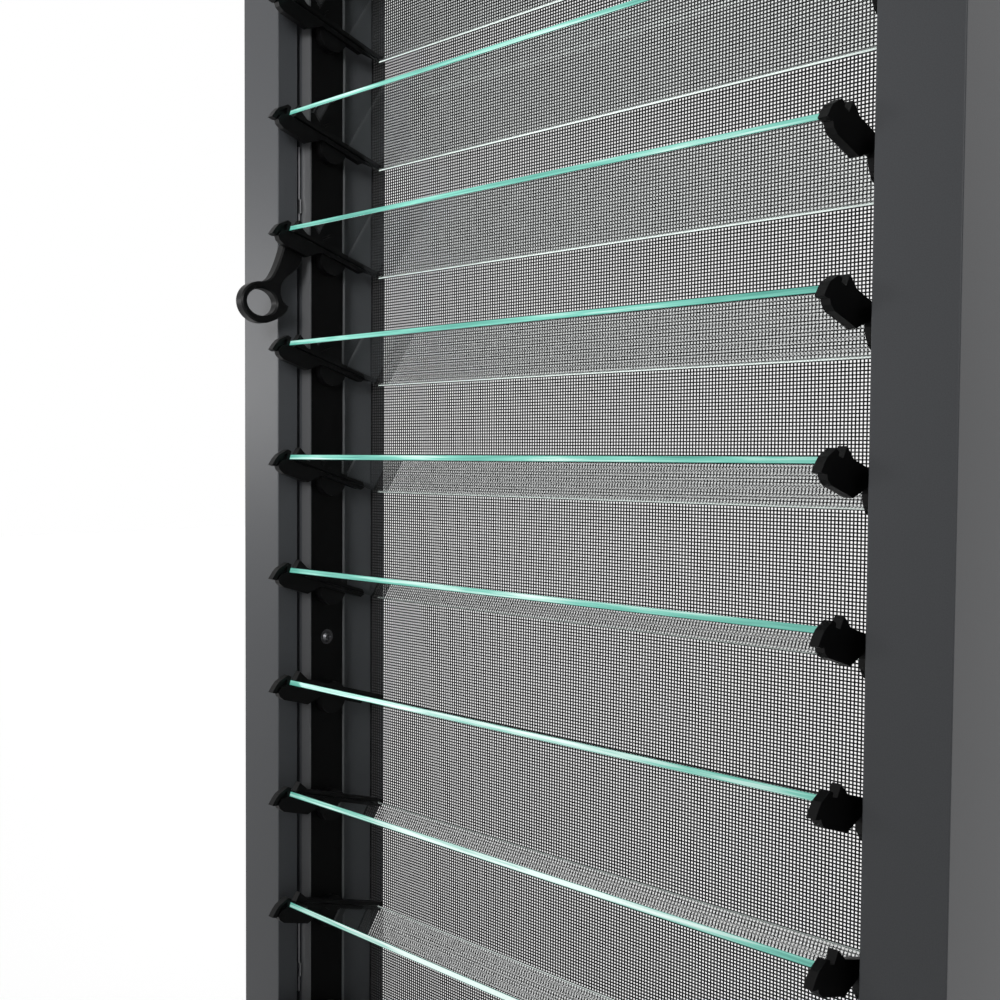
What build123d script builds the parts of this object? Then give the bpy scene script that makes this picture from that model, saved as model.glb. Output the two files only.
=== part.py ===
from build123d import *
import os

# A glass louvre window: a frame of four mitred bars, ten tilted glass blades held
# by a moulded clip at each end, and a woven screen on slim bars behind them.
# The room is on the -Y side. X runs across the window and Z runs up.
# The origin is the centre of the sill's underside.

# Frame
frame_width = 600.0
frame_depth = 110.0
face_width = 46.5
frame_wall = 2.0
edge_break = 0.8
groove_start = 18.5
groove_width = 5.0
groove_depth = 10.0
screen_depth = 96.0
slot_depth = 8.0

# Blades
blade_count = 10
blade_pitch = 89.0
blade_width = 96.0
glass_thickness = 4.0
glass_arris = 0.6
blade_tilt = 16.5
end_margin = 63.5
pivot_depth = 41.5
glass_offset = 4.75

# Channels and carriers on the jambs
channel_width = 36.0
channel_height = 10.0
channel_wall = 1.6
carrier_wall = 2.0
carrier_recess = 0.6
running_gap = 0.3
end_gap = 1.0

# Clips
spindle_radius = 5.0
spindle_reach = 3.0
boss_radius = 13.0
boss_sides = 24
spindle_sides = 16
boss_length = 5.4
plate_thickness = 3.0
jaw_overlap = 2.2
jaw_thickness = 3.0
keel_depth = 12.0
keel_end = 26.0
nose_length = 14.8
nose_drop = 8.4
nose_rise = 2.8
nose_crest = 3.4
tab_thickness = 4.0
web_thickness = 2.2
lip_height = 3.0
lip_start = 41.0
fin_height = 7.5
fin_run = 9.0
hook_length = 2.6
tail_gap = 20.0

# Link bars
link_thickness = 1.5
link_edge = 4.0
lug_blades = (2, 9)
lug_length = 66.0
lug_rise = 5.5
step_rise = 1.6
step_length = 11.0
step_drop = 42.0

# Ring handle
handle_blade = 3
handle_thickness = 8.0
handle_edge = 1.2
ring_bore_length = 27.0
ring_bore_height = 21.0
ring_wall = 5.4
ring_forward = 66.5
ring_drop = 40.5
arm_front = 46.0
arm_back = 28.0
arm_bend = 19.0
latch_reach = 41.0

# Screen
bar_width = 9.0
bar_depth = 6.0
mesh_thickness = 1.0
mesh_columns = 12
mesh_rows = 12
mesh_strand = 8.0

# Places that follow from the sizes
inner_height = (blade_count - 1) * blade_pitch + 2 * end_margin
frame_height = inner_height + 2 * face_width
front_y = -frame_depth / 2
back_y = frame_depth / 2
reveal_x = frame_width / 2 - face_width
pivot_y = front_y + pivot_depth
carrier_face_x = reveal_x - channel_height + carrier_recess
plate_x = carrier_face_x - running_gap - boss_length
glass_end_x = plate_x - plate_thickness - running_gap
groove_y = front_y + groove_start
slot_y = front_y + screen_depth
slot_width = mesh_thickness + bar_depth + 2 * running_gap
low_z = face_width + end_gap
run_length = inner_height - 2 * end_gap


def pivot_z(number):
    """Height of the pivot of a blade; blade 1 is the top one."""
    return face_width + end_margin + (blade_count - number) * blade_pitch


def seat(number, x=0.0):
    """Place of a blade's own axes: Y runs down the tilted glass, Z is square to it."""
    return Location((x, pivot_y, pivot_z(number)), (-blade_tilt, 0, 0))


os.makedirs("parts", exist_ok=True)


# Frame bars
def frame_bar(length):
    """A hollow mitred bar along X, with its opening face up."""
    groove_end = groove_y + groove_width
    groove_floor = face_width - groove_depth
    slot_end = slot_y + slot_width
    slot_floor = face_width - slot_depth
    with BuildPart() as bar:
        with BuildSketch(Plane.YZ.offset(-length / 2)):
            with BuildLine():
                Polyline(
                    (front_y, 0),
                    (back_y, 0),
                    (back_y, face_width),
                    (slot_end, face_width),
                    (slot_end, slot_floor),
                    (slot_y, slot_floor),
                    (slot_y, face_width),
                    (groove_end, face_width),
                    (groove_end, groove_floor),
                    (groove_y, groove_floor),
                    (groove_y, face_width),
                    (front_y, face_width),
                    close=True,
                )
            make_face()
            with BuildLine():
                Polyline(
                    (front_y + frame_wall, frame_wall),
                    (back_y - frame_wall, frame_wall),
                    (back_y - frame_wall, face_width - frame_wall),
                    (slot_end + frame_wall, face_width - frame_wall),
                    (slot_end + frame_wall, slot_floor - frame_wall),
                    (slot_y - frame_wall, slot_floor - frame_wall),
                    (slot_y - frame_wall, face_width - frame_wall),
                    (groove_end + frame_wall, face_width - frame_wall),
                    (groove_end + frame_wall, groove_floor - frame_wall),
                    (groove_y - frame_wall, groove_floor - frame_wall),
                    (groove_y - frame_wall, face_width - frame_wall),
                    (front_y + frame_wall, face_width - frame_wall),
                    close=True,
                )
            make_face(mode=Mode.SUBTRACT)
        extrude(amount=length)
        fillet(bar.edges().filter_by(Axis.X).group_by(Axis.Y)[0], edge_break)
        for side in (-1, 1):
            mitre = Plane(origin=(side * length / 2, 0, 0), x_dir=(0, 1, 0), z_dir=(side, 0, 1))
            split(bisect_by=mitre, keep=Keep.BOTTOM)
    return bar.part


with BuildPart() as sill_rail:
    add(frame_bar(frame_width))
sill_rail.part.label = "sill_rail"
export_step(sill_rail.part, "parts/sill_rail.step")

with BuildPart() as head_rail:
    with Locations(Location((0, 0, frame_height), (0, 180, 0))):
        add(frame_bar(frame_width))
head_rail.part.label = "head_rail"
export_step(head_rail.part, "parts/head_rail.step")

with BuildPart() as left_jamb:
    with Locations(Location((-frame_width / 2, 0, frame_height / 2), (0, 90, 0))):
        add(frame_bar(frame_height))
left_jamb.part.label = "left_jamb"
export_step(left_jamb.part, "parts/left_jamb.step")

with BuildPart() as right_jamb:
    mirror(left_jamb.part, about=Plane.YZ)
right_jamb.part.label = "right_jamb"
export_step(right_jamb.part, "parts/right_jamb.step")


# Channel on each jamb, open towards the blades
with BuildPart() as left_channel:
    with BuildSketch(Plane.XY.offset(low_z)):
        with Locations((-reveal_x, pivot_y)):
            Rectangle(channel_height, channel_width, align=(Align.MIN, Align.CENTER))
        with Locations((-reveal_x + channel_wall, pivot_y)):
            Rectangle(
                channel_height,
                channel_width - 2 * channel_wall,
                align=(Align.MIN, Align.CENTER),
                mode=Mode.SUBTRACT,
            )
    extrude(amount=run_length)
left_channel.part.label = "left_channel"
export_step(left_channel.part, "parts/left_channel.step")

with BuildPart() as right_channel:
    mirror(left_channel.part, about=Plane.YZ)
right_channel.part.label = "right_channel"
export_step(right_channel.part, "parts/right_channel.step")


# Carrier in each channel, with a hole for every clip
carrier_width = channel_width - 2 * channel_wall - 2 * running_gap
carrier_back_x = reveal_x - channel_wall
with BuildPart() as left_carrier:
    with BuildSketch(Plane.XY.offset(low_z)):
        with Locations((-carrier_back_x, pivot_y)):
            Rectangle(
                carrier_back_x - carrier_face_x,
                carrier_width,
                align=(Align.MIN, Align.CENTER),
            )
            Rectangle(
                carrier_back_x - carrier_face_x - carrier_wall,
                carrier_width - 2 * carrier_wall,
                align=(Align.MIN, Align.CENTER),
                mode=Mode.SUBTRACT,
            )
    extrude(amount=run_length)
    with BuildSketch(Plane.YZ.offset(-carrier_face_x)):
        with Locations([(pivot_y, pivot_z(n)) for n in range(1, blade_count + 1)]):
            RegularPolygon(spindle_radius + running_gap, spindle_sides)
    extrude(amount=-2 * carrier_wall, mode=Mode.SUBTRACT)
left_carrier.part.label = "left_carrier"
export_step(left_carrier.part, "parts/left_carrier.step")

with BuildPart() as right_carrier:
    mirror(left_carrier.part, about=Plane.YZ)
right_carrier.part.label = "right_carrier"
export_step(right_carrier.part, "parts/right_carrier.step")


# Link bar standing in each jamb's groove, with a stepped lug under two of the blades
link_y = groove_y + groove_width / 2
link_foot_x = reveal_x + groove_depth
with BuildPart() as left_link_bar:
    with BuildSketch(Plane.XZ.offset(-link_y - link_thickness / 2)):
        with Locations((-link_foot_x, low_z)):
            Rectangle(link_edge, run_length, align=(Align.MIN, Align.MIN))
        for number in lug_blades:
            with Locations((-link_foot_x, pivot_z(number))):
                Rectangle(link_edge + lug_rise, lug_length, align=(Align.MIN, Align.MAX))
            with Locations((-link_foot_x, pivot_z(number) - step_drop)):
                Rectangle(
                    link_edge + lug_rise + step_rise,
                    step_length,
                    align=(Align.MIN, Align.MAX),
                )
    extrude(amount=link_thickness)
left_link_bar.part.label = "left_link_bar"
export_step(left_link_bar.part, "parts/left_link_bar.step")

with BuildPart() as right_link_bar:
    mirror(left_link_bar.part, about=Plane.YZ)
right_link_bar.part.label = "right_link_bar"
export_step(right_link_bar.part, "parts/right_link_bar.step")


# Glass blades. In a blade's own axes the glass lies between these two heights.
glass_low = glass_offset - glass_thickness / 2
glass_high = glass_offset + glass_thickness / 2
glass_edge = blade_width / 2

for number in range(1, blade_count + 1):
    with BuildPart() as blade:
        with BuildSketch(Plane.YZ.offset(-glass_end_x)):
            with Locations((0, glass_offset)):
                Rectangle(blade_width, glass_thickness)
        extrude(amount=2 * glass_end_x)
        chamfer(blade.edges().filter_by(Axis.X), glass_arris)
    with BuildPart() as placed_blade:
        with Locations(seat(number)):
            add(blade.part)
    placed_blade.part.label = f"blade_{number:02d}"
    export_step(placed_blade.part, f"parts/blade_{number:02d}.step")


# Moulded clip for the left end of a blade, in the blade's own axes: Y runs from the
# room to the outside along the glass, and the pivot is at the origin. There are twenty
# of them, so their bosses and spindles have flat sides to keep the facets few.
jaw_low = glass_low - running_gap
jaw_high = glass_high + running_gap
lip_top = jaw_high + lip_height
keel_low = jaw_low - keel_depth
nose_level = jaw_low - nose_drop
room_stop = -glass_edge - running_gap
room_tip = -glass_edge - nose_length
tab_shoulder = (room_tip + tab_thickness, jaw_low + 1.0)
far_stop = glass_edge + running_gap
tail = glass_edge - tail_gap
jaw_reach = plate_x - glass_end_x + jaw_overlap

with BuildPart() as clip:
    # Nose that stands over the room edge of the glass and curls down into a finger
    # tab, with the deep keel behind it
    with BuildSketch(Plane.YZ.offset(-plate_x)):
        with BuildLine():
            Polyline(
                (room_stop, jaw_low),
                (room_stop, jaw_high + nose_rise - 0.5),
                (room_stop - nose_crest, jaw_high + nose_rise),
                tab_shoulder,
                (room_tip + tab_thickness / 2, jaw_low - nose_drop / 3),
                (room_tip, nose_level),
                (room_tip + tab_thickness, nose_level),
                (room_tip + tab_thickness + 2, nose_level + 0.8),
                (room_stop - 6.5, keel_low + 1.8),
                (room_stop - 2, keel_low),
                (-keel_end, keel_low),
                (-keel_end + keel_depth, jaw_low - jaw_thickness),
                (tail, jaw_low - jaw_thickness),
                (tail + jaw_thickness, jaw_low),
                (room_stop, jaw_low),
            )
        make_face()
    extrude(amount=jaw_reach)

    # Pocket between the tab and the keel, open at the bottom
    with BuildSketch(Plane.YZ.offset(-plate_x + jaw_reach)):
        with BuildLine():
            Polyline(
                (room_tip + tab_thickness, nose_level - 1),
                (room_tip + tab_thickness + 1, jaw_low - nose_drop / 2),
                (room_tip + tab_thickness + 2, jaw_low),
                (room_stop - web_thickness - 1, jaw_high),
                (room_stop - web_thickness, jaw_low),
                (room_stop - web_thickness - 5.0, jaw_low - 3.2),
                (room_tip + tab_thickness + 1.4, nose_level + 1),
                (room_tip + tab_thickness + 1, nose_level - 1),
                close=True,
            )
        make_face()
    extrude(amount=-(jaw_reach - plate_thickness), mode=Mode.SUBTRACT)

    # Side plate with the round boss face, beside the end of the glass
    with BuildSketch(Plane.YZ.offset(-plate_x)):
        with BuildLine():
            Polyline(
                (room_stop, jaw_low),
                (room_stop, jaw_high),
                (-lip_start - fin_run / 4, jaw_high),
                (-lip_start, jaw_high + fin_height),
                (-lip_start + fin_run, lip_top),
                (far_stop + hook_length, lip_top),
                (far_stop + hook_length, jaw_high - 2),
                (far_stop, jaw_high - 2),
                (tail + jaw_thickness, jaw_low),
                close=True,
            )
        make_face()
        RegularPolygon(boss_radius, boss_sides)
    extrude(amount=plate_thickness)

    # Lip over the glass, pointed at its room end, with a hook round the far edge
    with BuildSketch(Plane.YZ.offset(-plate_x)):
        with BuildLine():
            Polyline(
                (-lip_start - fin_run / 4, jaw_high),
                (-lip_start, jaw_high + fin_height),
                (-lip_start + fin_run, lip_top),
                (far_stop + hook_length, lip_top),
                (far_stop + hook_length, jaw_high - 2),
                (far_stop, jaw_high - 2),
                (far_stop, jaw_high),
                close=True,
            )
        make_face()
    extrude(amount=jaw_reach)

    # Boss that runs on the carrier, and the spindle through it
    with BuildSketch(Plane.YZ.offset(-plate_x)):
        RegularPolygon(boss_radius, boss_sides)
    extrude(amount=-boss_length, taper=6)
    with BuildSketch(Plane.YZ.offset(-plate_x - boss_length)):
        RegularPolygon(spindle_radius, spindle_sides)
    extrude(amount=-running_gap - carrier_wall - spindle_reach)

for number in range(1, blade_count + 1):
    with BuildPart() as left_clip:
        with Locations(seat(number)):
            add(clip.part)
    left_clip.part.label = f"left_clip_{number:02d}"
    export_step(left_clip.part, f"parts/left_clip_{number:02d}.step")
    with BuildPart() as right_clip:
        mirror(left_clip.part, about=Plane.YZ)
    right_clip.part.label = f"right_clip_{number:02d}"
    export_step(right_clip.part, f"parts/right_clip_{number:02d}.step")


# Ring handle, beside the keel of one left clip. The arm hangs from the clip's plate
# and ends in an oval ring with a short latch tail.
ring_half_length = ring_bore_length / 2 + ring_wall
ring_half_height = ring_bore_height / 2 + ring_wall
ring_back = -ring_forward + ring_half_length
with BuildPart() as handle:
    with BuildSketch(Plane.YZ.offset(-plate_x - running_gap)):
        with Locations((-ring_forward, -ring_drop)):
            Ellipse(ring_half_length, ring_half_height)
        with BuildLine():
            Line((-arm_front, 6), (-arm_back, -1))
            Spline(
                (-arm_back, -1),
                (-arm_back - 7, -arm_bend + 6),
                (ring_back, -arm_bend - 6),
                (ring_back + 0.5, -ring_drop + 4),
                (-latch_reach, -ring_drop - 1),
            )
            Line((-latch_reach, -ring_drop - 1), (-latch_reach - 2, -ring_drop - 5))
            Spline(
                (-latch_reach - 2, -ring_drop - 5),
                (-ring_forward + 13, -ring_drop - ring_half_height + 3.5),
                (-ring_forward, -ring_drop - ring_half_height),
            )
            Line((-ring_forward, -ring_drop - ring_half_height), (-ring_forward, -ring_drop))
            Line((-ring_forward, -ring_drop), (-ring_forward, -ring_drop + ring_half_height))
            Spline(
                (-ring_forward, -ring_drop + ring_half_height),
                (-arm_front - 9, -arm_bend + 3),
                (-arm_front, 6),
                tangents=((1, 0.1), (0.3, 1)),
            )
        make_face()
        with Locations((-ring_forward, -ring_drop)):
            Ellipse(ring_bore_length / 2, ring_bore_height / 2, mode=Mode.SUBTRACT)
    extrude(amount=-handle_thickness)
    chamfer(handle.faces().sort_by(Axis.X)[-1].edges(), handle_edge)
with BuildPart() as ring_handle:
    with Locations((0, pivot_y, pivot_z(handle_blade))):
        add(handle.part)
ring_handle.part.label = "ring_handle"
export_step(ring_handle.part, "parts/ring_handle.step")


# Slim screen bars sunk in the slot of each frame bar, mitred at the corners
mesh_y = slot_y + running_gap
bar_y = mesh_y + mesh_thickness
bar_foot = face_width - slot_depth + running_gap


def screen_bar(length):
    """A solid mitred strip along X, with its inner edge up."""
    with BuildPart() as bar:
        with BuildSketch(Plane.YZ.offset(-length / 2)):
            with Locations((bar_y, 0)):
                Rectangle(bar_depth, bar_width, align=(Align.MIN, Align.MIN))
        extrude(amount=length)
        for side in (-1, 1):
            mitre = Plane(origin=(side * length / 2, 0, 0), x_dir=(0, 1, 0), z_dir=(side, 0, 1))
            split(bisect_by=mitre, keep=Keep.BOTTOM)
    return bar.part


screen_width = frame_width - 2 * bar_foot
screen_height = frame_height - 2 * bar_foot

with BuildPart() as screen_bar_bottom:
    with Locations((0, 0, bar_foot)):
        add(screen_bar(screen_width))
screen_bar_bottom.part.label = "screen_bar_bottom"
export_step(screen_bar_bottom.part, "parts/screen_bar_bottom.step")

with BuildPart() as screen_bar_top:
    with Locations(Location((0, 0, frame_height - bar_foot), (0, 180, 0))):
        add(screen_bar(screen_width))
screen_bar_top.part.label = "screen_bar_top"
export_step(screen_bar_top.part, "parts/screen_bar_top.step")

with BuildPart() as screen_bar_left:
    with Locations(Location((-screen_width / 2, 0, frame_height / 2), (0, 90, 0))):
        add(screen_bar(screen_height))
screen_bar_left.part.label = "screen_bar_left"
export_step(screen_bar_left.part, "parts/screen_bar_left.step")

with BuildPart() as screen_bar_right:
    mirror(screen_bar_left.part, about=Plane.YZ)
screen_bar_right.part.label = "screen_bar_right"
export_step(screen_bar_right.part, "parts/screen_bar_right.step")


# Screen on the room side of its bars: a sheet with a plain grid of openings, which
# keeps the openness of the woven cloth without its single wires
cell_width = 2 * reveal_x / mesh_columns
cell_height = inner_height / mesh_rows
with BuildPart() as screen_mesh:
    with BuildSketch(Plane.XZ.offset(-mesh_y)):
        with Locations((0, frame_height / 2)):
            Rectangle(screen_width, screen_height)
            with GridLocations(cell_width, cell_height, mesh_columns, mesh_rows):
                Rectangle(cell_width - mesh_strand, cell_height - mesh_strand, mode=Mode.SUBTRACT)
    extrude(amount=-mesh_thickness)
screen_mesh.part.label = "screen_mesh"
export_step(screen_mesh.part, "parts/screen_mesh.step")
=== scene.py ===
# %% [markdown]
# A glass louvre window, dressed for its picture. The solids come from the packed
# CAD part and stay where they are. This lesson gives them their finishes, and makes
# again the few pieces whose look needs more than a solid: the polished glass blades,
# the woven screen and the screws.

import math

import bmesh
import bpy
from mathutils import Matrix, Vector


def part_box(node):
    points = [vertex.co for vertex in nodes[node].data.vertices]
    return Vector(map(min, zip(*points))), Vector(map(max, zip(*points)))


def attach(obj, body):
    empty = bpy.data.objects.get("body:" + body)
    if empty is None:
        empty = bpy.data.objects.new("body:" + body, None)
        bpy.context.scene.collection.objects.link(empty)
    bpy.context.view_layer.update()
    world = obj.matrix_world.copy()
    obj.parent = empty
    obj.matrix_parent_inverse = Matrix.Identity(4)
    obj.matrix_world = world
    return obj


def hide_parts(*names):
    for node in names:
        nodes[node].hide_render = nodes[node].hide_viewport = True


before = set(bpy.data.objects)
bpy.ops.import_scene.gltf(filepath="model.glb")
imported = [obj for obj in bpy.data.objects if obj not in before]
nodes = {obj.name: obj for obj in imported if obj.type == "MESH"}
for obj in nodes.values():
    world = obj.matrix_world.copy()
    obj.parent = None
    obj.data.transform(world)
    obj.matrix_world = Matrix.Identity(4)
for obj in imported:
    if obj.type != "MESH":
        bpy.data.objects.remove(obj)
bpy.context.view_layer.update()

# %% [markdown]
# The camera stands in the room, to the right of the window, and looks along its left
# jamb. A camera could be aimed with a constraint, but a picture like this one hangs on
# a small tilt and roll, so the three turns are written out and multiplied.

# %% Camera
MM = 0.001
camera_place = Vector((549.9, -631.7, 572.5)) * MM
camera_turn = math.radians(44.0)
camera_dip = math.radians(2.24)
camera_roll = math.radians(0.38)
camera_data = bpy.data.cameras.new("room_camera")
camera_data.sensor_width = 36.0
camera_data.lens = 43.85
camera_data.shift_y = 0.0069
camera_data.clip_start = 0.01
camera_data.clip_end = 50.0
camera = bpy.data.objects.new("room_camera", camera_data)
bpy.context.collection.objects.link(camera)
camera.matrix_world = (
    Matrix.Translation(camera_place)
    @ Matrix.Rotation(camera_turn, 4, "Z")
    @ Matrix.Rotation(math.pi / 2 - camera_dip, 4, "X")
    @ Matrix.Rotation(camera_roll, 4, "Z")
)
bpy.context.scene.camera = camera
bpy.context.scene.view_settings.view_transform = "Standard"
print("camera at", tuple(camera_place), "lens", camera_data.lens)

# %% [markdown]
# A few short helpers keep the node trees readable. Each one adds a node, sets its
# plain numbers, or joins two sockets, and nothing more.

# %% Node helpers
def add_node(tree, kind, **values):
    """A new node, with input sockets set by name and other fields set by attribute."""
    node = tree.nodes.new(kind)
    for key, value in values.items():
        label = key.replace("_", " ")
        if hasattr(node, key):
            setattr(node, key, value)
        else:
            match = [s for s in node.inputs if s.name.lower() == label.lower()]
            match[0].default_value = value
    return node


def join(tree, source, target):
    tree.links.new(source, target)


def new_group(name, inputs, outputs):
    """A shader node group with named sockets, and its input and output nodes."""
    tree = bpy.data.node_groups.new(name, "ShaderNodeTree")
    for label, kind, value in inputs:
        socket = tree.interface.new_socket(label, in_out="INPUT", socket_type=kind)
        socket.default_value = value
    for label, kind in outputs:
        tree.interface.new_socket(label, in_out="OUTPUT", socket_type=kind)
    return tree, tree.nodes.new("NodeGroupInput"), tree.nodes.new("NodeGroupOutput")


def place_group(tree, group, **values):
    node = tree.nodes.new("ShaderNodeGroup")
    node.node_tree = group
    for key, value in values.items():
        node.inputs[key.replace("_", " ")].default_value = value
    return node


def new_material(name):
    """An empty node material with a Principled shader joined to its output."""
    material = bpy.data.materials.new(name)
    material.use_nodes = True
    tree = material.node_tree
    shader = tree.nodes["Principled BSDF"]
    return material, tree, shader


# %% [markdown]
# Powder coat and moulded plastic both have a fine grain: a speckle in the colour, a
# small change in gloss and tiny bumps. An image could carry it, but a noise pattern on
# Object coordinates needs no unwrapping and keeps its real size on every piece. One
# group makes it, and each material gives it its own numbers. A second, slower noise
# adds the faint clouds that dust and handling leave on a large plain face.

# %% Grain group
COLOR = "NodeSocketColor"
FLOAT = "NodeSocketFloat"
VECTOR = "NodeSocketVector"
grain, grain_in, grain_out = new_group(
    "surface_grain",
    [
        ("Colour", COLOR, (0.1, 0.1, 0.1, 1.0)),
        ("Speckle", FLOAT, 0.1),
        ("Clouds", FLOAT, 0.1),
        ("Grain Size", FLOAT, 900.0),
        ("Gloss", FLOAT, 0.4),
        ("Bump", FLOAT, 0.1),
    ],
    [("Colour", COLOR), ("Roughness", FLOAT), ("Normal", VECTOR)],
)
spot = add_node(grain, "ShaderNodeTexCoord")
fine = add_node(grain, "ShaderNodeTexNoise", Detail=2.0)
broad = add_node(grain, "ShaderNodeTexNoise", Scale=7.0, Detail=3.0)
join(grain, spot.outputs["Object"], fine.inputs["Vector"])
join(grain, spot.outputs["Object"], broad.inputs["Vector"])
join(grain, grain_in.outputs["Grain Size"], fine.inputs["Scale"])

# %% [markdown]
# A noise lies between zero and one. Centred on one and scaled by an amount, it can
# multiply a colour or a gloss without changing its average. A power curve would need
# more nodes for the same small change.


# %% Grain nodes
def centred(tree, source, amount):
    """One plus the noise, from minus to plus half the amount."""
    shift = add_node(tree, "ShaderNodeMath", operation="SUBTRACT")
    shift.inputs[1].default_value = 0.5
    join(tree, source, shift.inputs[0])
    scale = add_node(tree, "ShaderNodeMath", operation="MULTIPLY_ADD")
    scale.inputs[2].default_value = 1.0
    join(tree, shift.outputs[0], scale.inputs[0])
    join(tree, amount, scale.inputs[1])
    return scale.outputs[0]


speckle = centred(grain, fine.outputs["Fac"], grain_in.outputs["Speckle"])
clouds = centred(grain, broad.outputs["Fac"], grain_in.outputs["Clouds"])
both = add_node(grain, "ShaderNodeMath", operation="MULTIPLY")
join(grain, speckle, both.inputs[0])
join(grain, clouds, both.inputs[1])
shade = add_node(grain, "ShaderNodeVectorMath", operation="SCALE")
join(grain, grain_in.outputs["Colour"], shade.inputs[0])
join(grain, both.outputs[0], shade.inputs["Scale"])
join(grain, shade.outputs[0], grain_out.inputs["Colour"])
gloss = add_node(grain, "ShaderNodeMath", operation="MULTIPLY")
join(grain, grain_in.outputs["Gloss"], gloss.inputs[0])
join(grain, clouds, gloss.inputs[1])
join(grain, gloss.outputs[0], grain_out.inputs["Roughness"])
grain_depth = 0.2 * MM
relief = add_node(grain, "ShaderNodeBump", Distance=grain_depth)
join(grain, grain_in.outputs["Bump"], relief.inputs["Strength"])
join(grain, fine.outputs["Fac"], relief.inputs["Height"])
join(grain, relief.outputs["Normal"], grain_out.inputs["Normal"])
print("group", grain.name, "has", len(grain.nodes), "nodes")


# %% [markdown]
# The painted and moulded finishes now differ only in their numbers. Powder coat on aluminium is a
# satin charcoal with a fleck, and the channels inside the opening wear a paler one; part of that
# paleness is painted light, which makes up for the shade inside the opening. The screen's bars are a
# darker black, and the clips, carriers and handle are black plastic with a softer shine. A white
# studio lifts every dark gloss, so the last loop lowers the specular level of the blackest finishes.
# Darker colours alone couldn't do that, because a reflection is added on top of the colour.

# %% Painted and moulded finishes
def grained_material(name, colour, speckle, clouds, size, gloss, bump, metallic=0.0):
    material, tree, shader = new_material(name)
    pattern = place_group(
        tree,
        grain,
        Colour=(*colour, 1.0),
        Speckle=speckle,
        Clouds=clouds,
        Grain_Size=size,
        Gloss=gloss,
        Bump=bump,
    )
    join(tree, pattern.outputs["Colour"], shader.inputs["Base Color"])
    join(tree, pattern.outputs["Roughness"], shader.inputs["Roughness"])
    join(tree, pattern.outputs["Normal"], shader.inputs["Normal"])
    shader.inputs["Metallic"].default_value = metallic
    return material


frame_coat = grained_material(
    "charcoal_powder_coat", (0.082, 0.086, 0.093), 0.35, 0.12, 1400.0, 0.36, 0.25
)
# Paler than the jamb's coat, in part as painted light that makes up for the shade inside the opening.
channel_coat_painted_light = grained_material(
    "satin_channel_coat", (0.135, 0.137, 0.142), 0.3, 0.12, 1400.0, 0.36, 0.2
)
screen_coat = grained_material(
    "black_powder_coat", (0.022, 0.022, 0.023), 0.3, 0.1, 1400.0, 0.5, 0.25
)
clip_plastic = grained_material(
    "black_clip_plastic", (0.003, 0.003, 0.0032), 0.2, 0.2, 1800.0, 0.42, 0.15
)
carrier_plastic = grained_material(
    "black_carrier_plastic", (0.003, 0.003, 0.0031), 0.2, 0.15, 1800.0, 0.5, 0.15
)
wire_coat = grained_material("coated_wire", (0.020, 0.020, 0.021), 0.3, 0.2, 3000.0, 0.45, 0.1)
for material, shine in (
    (clip_plastic, 0.14),
    (carrier_plastic, 0.08),
    (wire_coat, 0.12),
    (frame_coat, 0.3),
):
    material.node_tree.nodes["Principled BSDF"].inputs["Specular IOR Level"].default_value = shine
link_metal = grained_material("drawn_aluminium", (0.62, 0.62, 0.63), 0.15, 0.1, 2200.0, 0.3, 0.2, 1.0)
screw_steel = grained_material("blackened_screw", (0.10, 0.10, 0.105), 0.2, 0.2, 2500.0, 0.3, 0.2, 1.0)

# %% [markdown]
# Every CAD node keeps its mesh and only changes what its material slots hold.

# %% Finishes on the CAD nodes
finishes = {
    "jamb": frame_coat,
    "rail": frame_coat,
    "channel": channel_coat_painted_light,
    "carrier": carrier_plastic,
    "link_bar": link_metal,
    "clip": clip_plastic,
    "handle": clip_plastic,
    "screen_bar": screen_coat,
}
for name, node in nodes.items():
    for word, material in finishes.items():
        if word in name:
            for place in node.material_slots:
                place.material = material
print("finished nodes", len(nodes))

# %% [markdown]
# Float glass is clear face on and green along its edges, because there the light has
# come a long way through it. A single glass shader with absorption could do this, but
# it needs many bounces and stays noisy on a four millimetre edge. Four materials are
# plainer, and the first is the clear one for the faces. A Light Path node lets shadow
# rays through them, as a window does.

# %% Clear glass faces
glass_ior = 1.5
clear_glass, tree, shader = new_material("clear_glass")
shader.inputs["Base Color"].default_value = (0.97, 0.997, 0.988, 1.0)
shader.inputs["Roughness"].default_value = 0.0
shader.inputs["IOR"].default_value = glass_ior
shader.inputs["Transmission Weight"].default_value = 1.0
through = add_node(tree, "ShaderNodeBsdfTransparent", Color=(0.93, 0.97, 0.95, 1.0))
rays = add_node(tree, "ShaderNodeLightPath")
choose = add_node(tree, "ShaderNodeMixShader")
join(tree, rays.outputs["Is Shadow Ray"], choose.inputs["Fac"])
join(tree, shader.outputs["BSDF"], choose.inputs[1])
join(tree, through.outputs["BSDF"], choose.inputs[2])
join(tree, choose.outputs[0], tree.nodes["Material Output"].inputs["Surface"])
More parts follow.
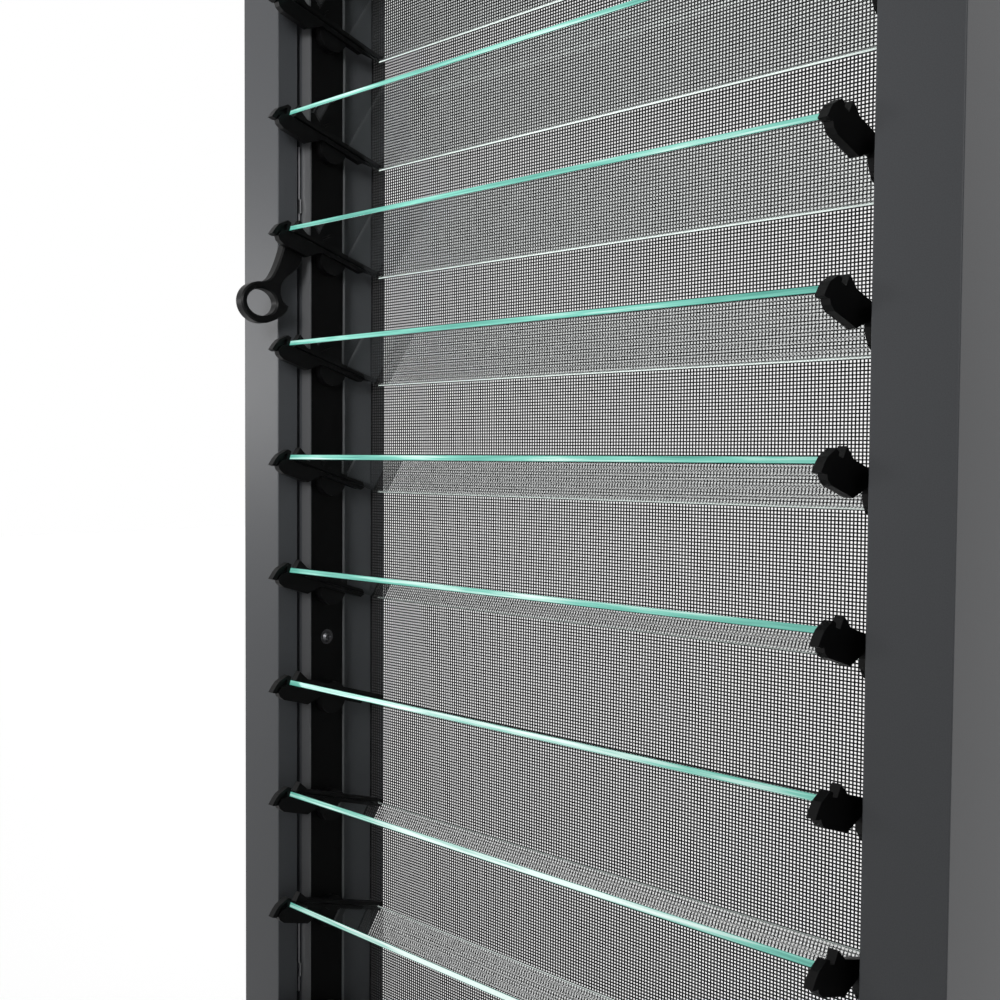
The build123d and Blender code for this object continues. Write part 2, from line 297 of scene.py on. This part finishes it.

# %% [markdown]
# The other three are a polished green for the room edge, a deeper green for the ground arris on both
# sides of it, and a pale one for the outer edge, whose near white is painted daylight. All three have
# an emission, a painted glow that stands in for daylight which entered at the faces and leaves at the
# edges. The room edge has a painted glow streaked along its length, and a painted highlight that turns
# it nearly white on the lower blades, away from the clips; near the clips its deeper green is painted
# shade. A painted image could show that, but two gradients on Object coordinates stay sharp and fit
# any blade.

# %% Polished room edge, with painted glow, highlight and shade
painted_glow_edge, tree, shader = new_material("polished_glass_edge")
spot = add_node(tree, "ShaderNodeTexCoord")
stretch = add_node(tree, "ShaderNodeMapping", Scale=(9.0, 260.0, 260.0))
painted_glow_streaks = add_node(tree, "ShaderNodeTexNoise", Scale=1.0, Detail=3.0, Roughness=0.6)
where = add_node(tree, "ShaderNodeSeparateXYZ")
# Painted highlight: the room edge turns whiter on the lower blades, standing in for a reflection of
# the bright room.
lower = add_node(tree, "ShaderNodeMapRange", From_Min=0.60, From_Max=0.25, To_Min=0.02, To_Max=0.34)
from_middle = add_node(tree, "ShaderNodeMath", operation="ABSOLUTE")
# Painted highlight and shade: whiter in the middle of a blade, deeper green near the clips, where
# shade falls.
middle = add_node(tree, "ShaderNodeMapRange", From_Min=0.25, From_Max=0.06, To_Min=0.0, To_Max=1.0)
amount = add_node(tree, "ShaderNodeMath", operation="MULTIPLY_ADD")
painted_glow_tones = add_node(tree, "ShaderNodeValToRGB")
painted_glow_tones.color_ramp.elements[0].position = 0.34
painted_glow_tones.color_ramp.elements[0].color = (0.06, 0.30, 0.24, 1.0)
painted_glow_tones.color_ramp.elements[1].position = 0.80
painted_glow_tones.color_ramp.elements[1].color = (0.85, 1.0, 0.96, 1.0)
painted_glow_tones.color_ramp.elements.new(0.56).color = (0.19, 0.56, 0.46, 1.0)
join(tree, spot.outputs["Object"], stretch.inputs["Vector"])
join(tree, stretch.outputs["Vector"], painted_glow_streaks.inputs["Vector"])
join(tree, spot.outputs["Object"], where.inputs["Vector"])
join(tree, where.outputs["Z"], lower.inputs["Value"])
join(tree, where.outputs["X"], from_middle.inputs[0])
join(tree, from_middle.outputs[0], middle.inputs["Value"])
join(tree, lower.outputs["Result"], amount.inputs[0])
join(tree, middle.outputs["Result"], amount.inputs[1])
join(tree, painted_glow_streaks.outputs["Fac"], amount.inputs[2])
join(tree, amount.outputs[0], painted_glow_tones.inputs["Fac"])
# The same colours go to the base colour and the emission, so the streaked glow and highlight are
# painted light.
join(tree, painted_glow_tones.outputs["Color"], shader.inputs["Base Color"])
join(tree, painted_glow_tones.outputs["Color"], shader.inputs["Emission Color"])
shader.inputs["Emission Strength"].default_value = 0.6
shader.inputs["Roughness"].default_value = 0.12
shader.inputs["IOR"].default_value = glass_ior

# %% Arris and outer edge, with painted glow
painted_glow_arris, tree, shader = new_material("ground_glass_arris")
shader.inputs["Base Color"].default_value = (0.05, 0.28, 0.22, 1.0)
# The emission is a painted glow, standing in for daylight that leaves the glass at the arris.
shader.inputs["Emission Color"].default_value = (0.10, 0.45, 0.36, 1.0)
shader.inputs["Emission Strength"].default_value = 0.45
shader.inputs["Roughness"].default_value = 0.3
shader.inputs["IOR"].default_value = glass_ior

painted_daylight_edge, tree, shader = new_material("painted_daylight_glass_edge")
# The near-white colour and the emission are painted daylight on the outer edge.
shader.inputs["Base Color"].default_value = (0.90, 0.97, 0.94, 1.0)
shader.inputs["Roughness"].default_value = 0.12
shader.inputs["IOR"].default_value = glass_ior
shader.inputs["Emission Color"].default_value = (0.92, 1.0, 0.97, 1.0)
shader.inputs["Emission Strength"].default_value = 0.42

# %% [markdown]
# Each blade starts as a unit cube, is scaled to its glass size, and has all its edges
# bevelled a little, as a glass worker grinds the arris. The CAD node's box gives the
# middle of the blade, and the blade is turned about that point to its tilt. The way a
# face looks decides its material. The two ends sit in the clips and show only their
# black plastic, so they take that finish.

# %% Blades
blade_width = 96.0 * MM
blade_thickness = 4.0 * MM
blade_tilt = math.radians(16.5)
arris = 0.4 * MM
square_on = 0.98
leaning = 0.4


def glass_blade(name, node_name):
    low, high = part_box(node_name)
    shape = bmesh.new()
    bmesh.ops.create_cube(shape, size=1.0)
    bmesh.ops.scale(shape, vec=(high.x - low.x, blade_width, blade_thickness), verts=shape.verts)
    bmesh.ops.bevel(
        shape,
        geom=shape.edges[:],
        offset=arris,
        segments=2,
        profile=0.5,
        affect="EDGES",
        material=-1,
    )
    for face in shape.faces:
        if face.normal.y < -square_on:
            face.material_index = 1
        elif face.normal.y < -leaning:
            face.material_index = 4
        elif face.normal.y > leaning:
            face.material_index = 2
        elif abs(face.normal.x) > leaning:
            face.material_index = 3
        else:
            face.material_index = 0
    turn = Matrix.Translation((low + high) / 2) @ Matrix.Rotation(-blade_tilt, 4, "X")
    bmesh.ops.transform(shape, matrix=turn, verts=shape.verts)
    mesh = bpy.data.meshes.new(name)
    shape.to_mesh(mesh)
    shape.free()
    mesh.materials.append(clear_glass)
    mesh.materials.append(painted_glow_edge)
    mesh.materials.append(painted_daylight_edge)
    mesh.materials.append(clip_plastic)
    mesh.materials.append(painted_glow_arris)
    blade = bpy.data.objects.new(name, mesh)
    bpy.context.collection.objects.link(blade)
    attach(blade, "root")
    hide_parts(node_name)
    return blade


blade_nodes = sorted(name for name in nodes if name.startswith("blade_"))
for node_name in blade_nodes:
    glass_blade("glass_" + node_name, node_name)
print("glass blades", len(blade_nodes))

# %% [markdown]
# The screen is a square weave of coated wire. Wires that really go over and under each
# other would need millions of faces at this spacing, so each wire is a straight
# six-sided rod, and the two directions lie against each other, one just in front.

# %% Screen
wire_thickness = 1.0 * MM
row_spacing = 2.31 * MM
column_spacing = 2.5 * MM
wire_sides = 6
low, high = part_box("screen_mesh")


def lay_wires(shape, count, length, turn, start, step):
    """Straight rods of one direction, each moved one step on from the last."""
    for index in range(count):
        bmesh.ops.create_cone(
            shape,
            cap_ends=True,
            segments=wire_sides,
            radius1=wire_thickness / 2,
            radius2=wire_thickness / 2,
            depth=length,
            matrix=Matrix.Translation(start + step * index) @ turn,
        )


wires = bmesh.new()
middle = (low + high) / 2
row_count = int((high.z - low.z) / row_spacing)
column_count = int((high.x - low.x) / column_spacing)
wire_inset = wire_thickness * 0.48
front_layer = low.y + wire_inset
back_layer = high.y - wire_inset
lay_wires(
    wires,
    row_count,
    high.x - low.x,
    Matrix.Rotation(math.pi / 2, 4, "Y"),
    Vector((middle.x, front_layer, low.z + row_spacing / 2)),
    Vector((0, 0, row_spacing)),
)
lay_wires(
    wires,
    column_count,
    high.z - low.z,
    Matrix.Identity(4),
    Vector((low.x + column_spacing / 2, back_layer, middle.z)),
    Vector((column_spacing, 0, 0)),
)
mesh = bpy.data.meshes.new("screen_wires")
wires.to_mesh(mesh)
wires.free()
mesh.materials.append(wire_coat)
screen = bpy.data.objects.new("screen_wires", mesh)
bpy.context.collection.objects.link(screen)
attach(screen, "root")
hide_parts("screen_mesh")
print("screen wires", row_count, "rows", column_count, "columns")

# %% [markdown]
# One screw holds each carrier in its channel. Its head is turned from a half outline
# with the Spin operator, and the cross in it is a 12-sided loop that is pushed down and
# drawn in, which gives the sloping walls of a driver recess without a Boolean.

# %% Screw sizes
head_radius = 4.4 * MM
head_height = 2.2 * MM
rim_height = 0.6 * MM
flat_radius = 3.1 * MM
cross_reach = 2.3 * MM
cross_half_width = 0.55 * MM
cross_depth = 1.5 * MM
cross_taper = 0.55
washer_radius = 6.0 * MM
washer_height = 0.5 * MM
screw_lift = 378.5 * MM
turn_steps = 32
top = washer_height + head_height


# %% Turned head and washer
def turned_head(shape):
    """A washer and a head in one skin, open at the flat top."""
    profile = [
        (washer_radius, 0.0),
        (washer_radius, washer_height),
        (head_radius, washer_height),
        (head_radius, washer_height + rim_height),
        (flat_radius, top),
    ]
    outline = [shape.verts.new((x, 0.0, z)) for x, z in profile]
    sides = [shape.edges.new(pair) for pair in zip(outline, outline[1:])]
    bmesh.ops.spin(
        shape,
        geom=outline + sides,
        cent=(0, 0, 0),
        axis=(0, 0, 1),
        angle=math.tau,
        steps=turn_steps,
        use_merge=True,
    )
    bmesh.ops.remove_doubles(shape, verts=shape.verts[:], dist=1e-6)


# %% Cross recess
def loop_of(shape, points, height):
    """Edges round a closed loop of points at one height."""
    corners = [shape.verts.new((x, y, height)) for x, y in points]
    pairs = zip(corners, corners[1:] + corners[:1])
    return [shape.edges.new(pair) for pair in pairs]


def cross_recess(shape):
    """The flat top round a cross, and the walls and floor of the cross below it."""
    rim = [e for e in shape.edges if e.is_boundary and e.verts[0].co.z > top - 1e-6]
    reach, half = cross_reach, cross_half_width
    arm = [(reach, -half), (reach, half), (half, half)]
    cross = [
        (x * c - y * s, x * s + y * c)
        for c, s in ((1, 0), (0, 1), (-1, 0), (0, -1))
        for x, y in arm
    ]
    edges = loop_of(shape, cross, top)
    bmesh.ops.triangle_fill(shape, edges=rim + edges, use_beauty=True)
    pushed = bmesh.ops.extrude_edge_only(shape, edges=edges)["geom"]
    corners = [item for item in pushed if isinstance(item, bmesh.types.BMVert)]
    bmesh.ops.scale(shape, vec=(cross_taper, cross_taper, 1.0), verts=corners)
    bmesh.ops.translate(shape, vec=(0, 0, -cross_depth), verts=corners)
    new_edges = [item for item in pushed if isinstance(item, bmesh.types.BMEdge)]
    floor_edges = [edge for edge in new_edges if edge.is_boundary]
    bmesh.ops.triangle_fill(shape, edges=floor_edges, use_beauty=True)


# %% [markdown]
# Both screws are made upright at the origin and then laid along X with their heads
# inwards. The place goes into the mesh and not into the object, so that the grain on
# Object coordinates lies on a screw as it does on every other piece.


# %% Screws
def carrier_screw(name, place, side):
    shape = bmesh.new()
    turned_head(shape)
    cross_recess(shape)
    bmesh.ops.recalc_face_normals(shape, faces=shape.faces[:])
    turn = Matrix.Translation(place) @ Matrix.Rotation(side * math.pi / 2, 4, "Y")
    bmesh.ops.transform(shape, matrix=turn, verts=shape.verts[:])
    mesh = bpy.data.meshes.new(name)
    shape.to_mesh(mesh)
    shape.free()
    mesh.materials.append(screw_steel)
    screw = bpy.data.objects.new(name, mesh)
    bpy.context.collection.objects.link(screw)
    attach(screw, "root")
    return screw


for side, node_name in ((1, "left_carrier"), (-1, "right_carrier")):
    low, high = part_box(node_name)
    inner_face = high.x if side > 0 else low.x
    seat = Vector((inner_face, (low.y + high.y) / 2, low.z + screw_lift))
    carrier_screw(node_name + "_screw", seat, side)
    print("screw seat", tuple(round(v, 4) for v in seat))

# %% [markdown]
# The photo's window stands before a bright background. The world is therefore white
# where the camera, a gloss or the glass looks at it, and much dimmer where it lights
# the object. One even world would be simpler, but would wash out every dark finish.

# %% World
world = bpy.data.worlds.new("studio")
bpy.context.scene.world = world
world.use_nodes = True
tree = world.node_tree
backdrop = tree.nodes["Background"]
fill = 0.24


def looked_at(tree):
    """One where a place is seen, by itself or in glass or a gloss, and zero elsewhere."""
    rays = add_node(tree, "ShaderNodeLightPath")
    seen = rays.outputs["Is Camera Ray"]
    for kind in ("Is Transmission Ray", "Is Glossy Ray"):
        either = add_node(tree, "ShaderNodeMath", operation="MAXIMUM")
        join(tree, seen, either.inputs[0])
        join(tree, rays.outputs[kind], either.inputs[1])
        seen = either.outputs[0]
    return seen


level = add_node(tree, "ShaderNodeMapRange", To_Min=fill, To_Max=1.0)
join(tree, looked_at(tree), level.inputs["Value"])
join(tree, level.outputs["Result"], backdrop.inputs["Strength"])
backdrop.inputs["Color"].default_value = (1.0, 1.0, 1.0, 1.0)
print("world strength", fill, "as light, 1.0 to look at")

# %% [markdown]
# Two soft boxes stand in the room. The one on the left is placed where the jamb's
# satin face mirrors it to the camera, which leaves a broad sheen at mid height. The one
# on the right is higher and reaches the channels inside the opening. In a real room the
# light fades towards the sill, and a grid before each box does that here: Spread narrows
# the beam, and the beam is aimed at the upper half. A narrow beam is also a stronger
# one, so the lamps need about a watt or less. From behind, a lamp would show through the
# screen as a white square, so both are hidden from camera and transmission rays.


# %% Soft boxes
def soft_box(name, place, aim, width, height, beam, power):
    """An area lamp behind a grid that narrows its beam. It lights, but isn't seen."""
    data = bpy.data.lights.new(name, "AREA")
    data.shape = "RECTANGLE"
    data.size = width
    data.size_y = height
    data.spread = math.radians(beam)
    data.energy = power
    light = bpy.data.objects.new(name, data)
    bpy.context.collection.objects.link(light)
    light.location = place
    light.rotation_euler = (Vector(aim) - Vector(place)).to_track_quat("-Z", "Y").to_euler()
    light.visible_camera = False
    light.visible_transmission = False
    return light


soft_box("room_light", (-2.5, -1.7, 0.86), (-0.27, -0.05, 0.80), 0.6, 0.5, 30.0, 0.38)
soft_box("high_light", (0.7, -1.6, 1.15), (-0.25, -0.05, 0.77), 0.6, 0.6, 38.0, 1.15)

# %% [markdown]
# The floor is a plain grid of one face, a hair below the window. It glows where it is
# looked at, so that it runs into the white background, but it still takes the shadow.

# %% Floor
floor_gap = 0.5 * MM
floor_glow = 0.75
floor_data = bpy.data.meshes.new("floor")
shape = bmesh.new()
bmesh.ops.create_grid(shape, x_segments=1, y_segments=1, size=8.0)
shape.to_mesh(floor_data)
shape.free()
floor = bpy.data.objects.new("floor", floor_data)
bpy.context.collection.objects.link(floor)
floor.location.z = -floor_gap
pale, tree, shader = new_material("pale_floor")
shader.inputs["Base Color"].default_value = (0.85, 0.85, 0.85, 1.0)
shader.inputs["Roughness"].default_value = 0.8
shader.inputs["Emission Color"].default_value = (1.0, 1.0, 1.0, 1.0)
glow = add_node(tree, "ShaderNodeMath", operation="MULTIPLY")
glow.inputs[1].default_value = floor_glow
join(tree, looked_at(tree), glow.inputs[0])
join(tree, glow.outputs[0], shader.inputs["Emission Strength"])
floor_data.materials.append(pale)
print("floor at", floor.location.z)
